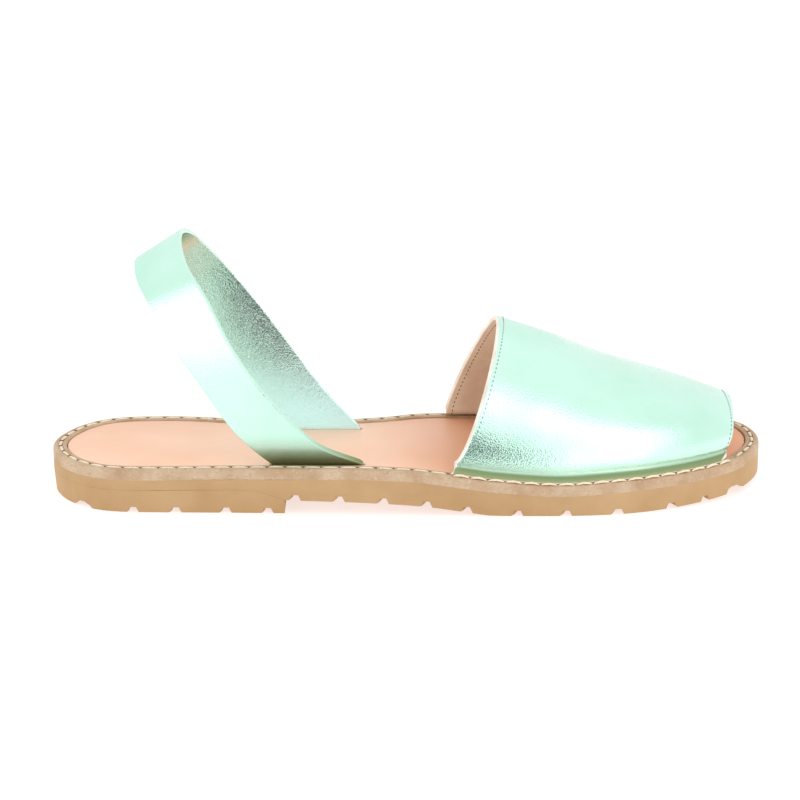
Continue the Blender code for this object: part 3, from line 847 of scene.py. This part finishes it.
def one_stitch(length, width, height, bow):
    """A stitch lying along X: a stretched ball, bowed up in its middle."""
    deselect_all()
    bpy.ops.mesh.primitive_uv_sphere_add(segments=8, ring_count=6, radius=0.5)
    stitch = bpy.context.object
    bpy.ops.object.mode_set(mode="EDIT")
    bpy.ops.mesh.select_all(action="SELECT")
    bpy.ops.transform.rotate(value=math.pi / 2, orient_axis="Y", center_override=(0, 0, 0))
    bpy.ops.object.mode_set(mode="OBJECT")
    for vertex in stitch.data.vertices:
        share = vertex.co.x * 2
        girth = math.sqrt(max(1e-9, 1 - share * share))
        fat = (1 - share ** 6) / girth if girth > 0.01 else 0.0
        vertex.co.x *= length
        vertex.co.y *= width * fat
        vertex.co.z = vertex.co.z * height * fat + bow * (1 - share * share)
    for polygon in stitch.data.polygons:
        polygon.use_smooth = True
    return stitch


def sew(name, pattern, seats, material):
    """Copies of one stitch, each on its own seat, joined into one piece."""
    copies = []
    for origin, forward, upward in seats:
        forward = forward / np.linalg.norm(forward)
        side = np.cross(upward, forward)
        side /= np.linalg.norm(side)
        upward = np.cross(forward, side)
        lean = math.radians(random.uniform(-STITCH_LEAN, STITCH_LEAN))
        forward = forward * math.cos(lean) + side * math.sin(lean)
        side = np.cross(upward, forward)
        turn = np.column_stack([forward, side, upward])
        points = np.array([v.co for v in pattern.data.vertices]) @ turn.T + origin
        stitch = bpy.data.objects.new(name, pattern.data.copy())
        stitch.data.vertices.foreach_set("co", points.ravel())
        bpy.context.scene.collection.objects.link(stitch)
        copies.append(stitch)
    deselect_all()
    for stitch in copies:
        stitch.select_set(True)
    seam = copies[0]
    bpy.context.view_layer.objects.active = seam
    bpy.ops.object.join()
    seam.name = name
    seam.data.materials.clear()
    seam.data.materials.append(material)
    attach(seam, "root")


def stations_on(line, pitch):
    """Evenly spaced places and directions along a line of points."""
    runs = run_lengths(line)
    count = max(1, round(runs[-1] / pitch))
    wanted = (np.arange(count) + 0.5) * runs[-1] / count
    ahead = np.gradient(line, runs, axis=0)
    at = [np.interp(wanted, runs, line[:, k]) for k in range(line.shape[1])]
    way = [np.interp(wanted, runs, ahead[:, k]) for k in range(line.shape[1])]
    return np.column_stack(at), np.column_stack(way)


def rim_line(inset, lift, part):
    """A line on the welt: the whole round line, cut to the part that is wanted."""
    outer = side_line(inset, False)
    inner = side_line(inset, True)
    loop = np.vstack([outer, inner[-2:0:-1]])
    line = np.column_stack([loop, welt_top(loop[:, 0]) + lift])
    throat = float(along(THROAT_SHARE))
    toe = float(along(TOE_OPENING_SHARE))
    half = len(outer)
    if part == "heel":
        inner_part = [p for p in line[half - 1:] if p[0] < throat]
        outer_part = [p for p in line[:half] if p[0] < throat]
        return np.array(inner_part + outer_part)
    if part == "toe":
        return np.array([p for p in line if p[0] > toe + TOE_STITCH_CLEARANCE])
    side = line[:half] if part == "outer" else line[half - 1:]
    return np.array([p for p in side if throat < p[0] < toe])


def upright_seats(parts, inset, lift):
    """Seats for stitches that lie along the welt."""
    seats = []
    for part in parts:
        for place, way in zip(*stations_on(rim_line(inset, lift, part), STITCH_PITCH)):
            seats.append((place, way, UPWARD))
    return seats


def slit_seats(parts, inset, lift):
    """Slanted seats halfway between the stitches."""
    seats = []
    for part in parts:
        places, ways = stations_on(rim_line(inset, lift, part), STITCH_PITCH)
        half_pitch = np.linalg.norm(places[1] - places[0]) / 2
        for place, way in zip(places, ways):
            way = way / np.linalg.norm(way)
            slant = way + SLIT_SLANT * np.array([way[1], -way[0], 0.0])
            seats.append((place + way * half_pitch, slant, UPWARD))
    return seats


thread = waxed_thread("waxed_cream_thread", THREAD_CREAM, THREAD_SHADE)
stitch_length = STITCH_PITCH * STITCH_REACH
rim_stitch = one_stitch(stitch_length, THREAD_WIDTH, THREAD_HEIGHT, RIM_STITCH_BOW)
sew("rim_stitches", rim_stitch, upright_seats(("heel", "toe"), GROOVE_INSET, -RIM_STITCH_SINK),
    thread)
bpy.data.objects.remove(rim_stitch)

arched_stitch = one_stitch(stitch_length, THREAD_WIDTH, FLANGE_STITCH_HEIGHT, FLANGE_STITCH_BOW)
sew("flange_stitches", arched_stitch,
    upright_seats(("outer", "inner"), FLANGE_STITCH_INSET, FLANGE_STITCH_LIFT),
    thread)
bpy.data.objects.remove(arched_stitch)

awl_slit = one_stitch(SLIT_LENGTH, SLIT_WIDTH, SLIT_HEIGHT, 0.0)
# dark brown slivers in the awl slits: a painted shadow of the holes
hole_shadow_finish = waxed_thread("awl_slit_shadow", HOLE_SHADOW_BROWN, HOLE_SHADOW_DEEP)
sew("awl_hole_shadows", awl_slit, slit_seats(("heel", "toe"), GROOVE_INSET, SLIT_LIFT),
    hole_shadow_finish)
bpy.data.objects.remove(awl_slit)


# Edge stitching: fine machine thread that holds the foil to its lining, one row
# a little in from the throat and one from the toe opening.  It is grey-blue on
# the foil and brown on the lining.

FINE_PITCH = 1.7 * MM
FINE_THREAD = 0.42 * MM
EDGE_INSET = 2.2 * MM
FINE_REACH = 0.58
FINE_HEIGHT = 0.16 * MM
FINE_BOW = 0.02 * MM
FINE_LIFT = 0.02 * MM
THREAD_BLUE = "#93A8AC"
BLUE_SHADE = "#6F8792"
THREAD_BROWN = "#8A7160"
BROWN_SHADE = "#6E5647"


def edge_seats(from_toe, inside):
    """Seats for the fine stitches on one face of the vamp, beside one opening."""
    grid = vamp_grid[::-1] if from_toe else vamp_grid
    runs = np.linalg.norm(np.diff(grid, axis=0), axis=2)
    places = np.vstack([np.zeros(grid.shape[1]), np.cumsum(runs, axis=0)])
    normal = grid_normals(grid) * (-1 if from_toe else 1)
    face = -1 if inside else 1
    line, outward = [], []
    for column in range(FLANGE_STEPS + 2, grid.shape[1] - FLANGE_STEPS - 2):
        reach = places[:, column]
        point = [np.interp(EDGE_INSET, reach, grid[:, column, k]) for k in range(3)]
        away = [np.interp(EDGE_INSET, reach, normal[:, column, k]) for k in range(3)]
        away = np.array(away) * face
        line.append(np.array(point) + away * (LEATHER_THICKNESS / 2 + FINE_LIFT))
        outward.append(away)
    line = np.array(line)
    seats = []
    for place, way in zip(*stations_on(line, FINE_PITCH)):
        nearest = np.argmin(np.linalg.norm(line - place, axis=1))
        seats.append((place, way, outward[nearest]))
    return seats


fine_thread = waxed_thread("grey_blue_thread", THREAD_BLUE, BLUE_SHADE)
fine_stitch = one_stitch(FINE_PITCH * FINE_REACH, FINE_THREAD, FINE_HEIGHT, FINE_BOW)
lining_thread = waxed_thread("brown_lining_thread", THREAD_BROWN, BROWN_SHADE)
sew("edge_stitches", fine_stitch, edge_seats(False, False) + edge_seats(True, False),
    fine_thread)
sew("lining_stitches", fine_stitch, edge_seats(False, True) + edge_seats(True, True),
    lining_thread)
bpy.data.objects.remove(fine_stitch)


# Studio: a white table lit from below, white air all round, soft lights, and a
# long lens on the outer side of the shoe.  The foil also mirrors two bright
# screens and the dark camera stand, which stand out of the picture.

FLOOR_PAINT = "#A2B1B4"
FLOOR_SHADE = "#A5B2B4"
FLOOR_GLOW = "#E2D3D1"
FLOOR_WIDTH = 14
CAMERA_TARGET = (-0.00315, -0.005, 0.0302)
CAMERA_DISTANCE = 0.9
CAMERA_ELEVATION = 16.5
CAMERA_LENS = 113.8


def lit_acrylic():
    """Matt acrylic table top, lit from below so that shadows on it stay pale and warm."""
    material, tree, surface, place = finish_named("lit_acrylic")
    mottle = ramp(tree, speckle(tree, place, 60 * MM, 3.0), 0.3, 0.7)
    tone = blend(tree, mottle, linear(FLOOR_PAINT), linear(FLOOR_SHADE))
    tree.links.new(tone, surface.inputs["Base Color"])
    surface.inputs["Roughness"].default_value = 0.9
    surface.inputs["Specular IOR Level"].default_value = 0.1
    surface.inputs["Emission Color"].default_value = linear(FLOOR_GLOW)
    surface.inputs["Emission Strength"].default_value = 1.0
    return material


deselect_all()
bpy.ops.mesh.primitive_plane_add(size=FLOOR_WIDTH, location=(0, 0, 0))
floor = bpy.context.object
floor.name = "studio_floor"
floor.data.materials.append(lit_acrylic())

# corners of the screens round their edge, the two lowest first
STAND_CORNERS = (
    (-0.045, -0.13, 0.002), (0.045, -0.13, 0.002), (0.10, -0.95, 0.18), (-0.14, -0.95, 0.11),
)
RIGHT_CORNERS = (
    (0.045, -0.13, 0.002), (0.16, -0.09, 0.002), (0.75, -0.35, 0.75), (-0.15, -0.75, 0.75),
)
LEFT_CORNERS = (
    (-0.23, -0.09, 0.002), (-0.10, -0.16, 0.002), (-0.235, -0.577, 0.39), (-0.70, -0.24, 0.39),
)
RIGHT_GLOW = 1.85
LEFT_GLOW = 1.7
CLOTH_BLACK = "#1C2220"
CLOTH_GREY = "#262C2A"


def glowing_cloth(name, peak):
    """White diffusion cloth, brightest in its middle and fading towards its hems."""
    material, tree, surface, _ = finish_named(name)
    spot = node(tree, "SeparateXYZ", {"Vector": node(tree, "TexCoord").outputs["UV"]})
    fades = [ramp(tree, spot.outputs["X"], 0.0, 0.1), ramp(tree, spot.outputs["X"], 1.0, 0.6)]
    fades.append(ramp(tree, spot.outputs["Y"], 1.0, 0.35))
    glow = fades[0]
    for fade in fades[1:]:
        glow = node(tree, "Math", {0: glow, 1: fade}, operation="MULTIPLY").outputs["Value"]
    strength = node(tree, "MapRange", {"Value": glow, "To Min": 1.0, "To Max": peak})
    surface.inputs["Base Color"].default_value = linear("#000000")
    surface.inputs["Specular IOR Level"].default_value = 0.0
    surface.inputs["Emission Color"].default_value = linear("#FFFFFF")
    tree.links.new(strength.outputs["Result"], surface.inputs["Emission Strength"])
    return material


def dark_cloth(name):
    """Black cloth that swallows light."""
    material, tree, surface, place = finish_named(name)
    weave = blend(tree, speckle(tree, place, 2 * MM), linear(CLOTH_BLACK), linear(CLOTH_GREY))
    tree.links.new(weave, surface.inputs["Base Color"])
    surface.inputs["Roughness"].default_value = 0.95
    return material


def reflected_screen(name, corners, cloth):
    """A flat screen out of the picture that is seen only as a reflection."""
    deselect_all()
    bpy.ops.mesh.primitive_plane_add(size=1)
    screen = bpy.context.object
    screen.name = name
    for corner, place in zip((0, 1, 3, 2), corners):
        screen.data.vertices[corner].co = place
    screen.data.materials.append(cloth)
    screen.visible_camera = False
    screen.visible_diffuse = False
    screen.visible_shadow = False


reflected_screen("camera_stand", STAND_CORNERS, dark_cloth("dark_cloth"))
reflected_screen("right_screen", RIGHT_CORNERS, glowing_cloth("right_diffusion", RIGHT_GLOW))
reflected_screen("left_screen", LEFT_CORNERS, glowing_cloth("left_diffusion", LEFT_GLOW))


def soft_light(name, place, aim, wide, tall, power):
    """A rectangular softbox that points at a place."""
    lamp = bpy.data.lights.new(name, "AREA")
    lamp.shape = "RECTANGLE"
    lamp.size, lamp.size_y = wide, tall
    lamp.energy = power
    holder = bpy.data.objects.new(name, lamp)
    bpy.context.scene.collection.objects.link(holder)
    holder.location = place
    way = np.array(aim) - np.array(place)
    flat = math.hypot(way[0], way[1])
    holder.rotation_euler = (math.atan2(flat, -way[2]), 0, math.atan2(-way[0], way[1]))
    return holder


soft_light("ceiling_softbox", (0, 0, 1.8), (0, 0, 0), 2.4, 2.4, 1.0)
fillers = [soft_light("front_softbox", (0.57, -1.16, 0.45), (0.05, -0.04, 0.03), 0.8, 1.0, 2.0)]
for side in (-1, 1):
    place = (1.2 * side, -0.25, 0.4)
    fillers.append(soft_light("end_softbox", place, (0.1 * side, 0, 0.01), 1.0, 0.8, 2.2))
for filler in fillers:
    filler.visible_glossy = False

world = bpy.data.worlds.new("studio_air")
bpy.context.scene.world = world
world.use_nodes = True
air = world.node_tree.nodes["Background"]
air.inputs["Color"].default_value = linear("#FFFFFF")
air.inputs["Strength"].default_value = 1.0

camera_data = bpy.data.cameras.new("long_lens")
camera_data.lens = CAMERA_LENS
camera = bpy.data.objects.new("long_lens", camera_data)
bpy.context.scene.collection.objects.link(camera)
rise = math.radians(CAMERA_ELEVATION)
camera.location = (
    CAMERA_TARGET[0],
    CAMERA_TARGET[1] - CAMERA_DISTANCE * math.cos(rise),
    CAMERA_TARGET[2] + CAMERA_DISTANCE * math.sin(rise),
)
camera.rotation_euler = (math.pi / 2 - rise, 0, 0)
bpy.context.scene.camera = camera
bpy.context.scene.view_settings.view_transform = "Standard"
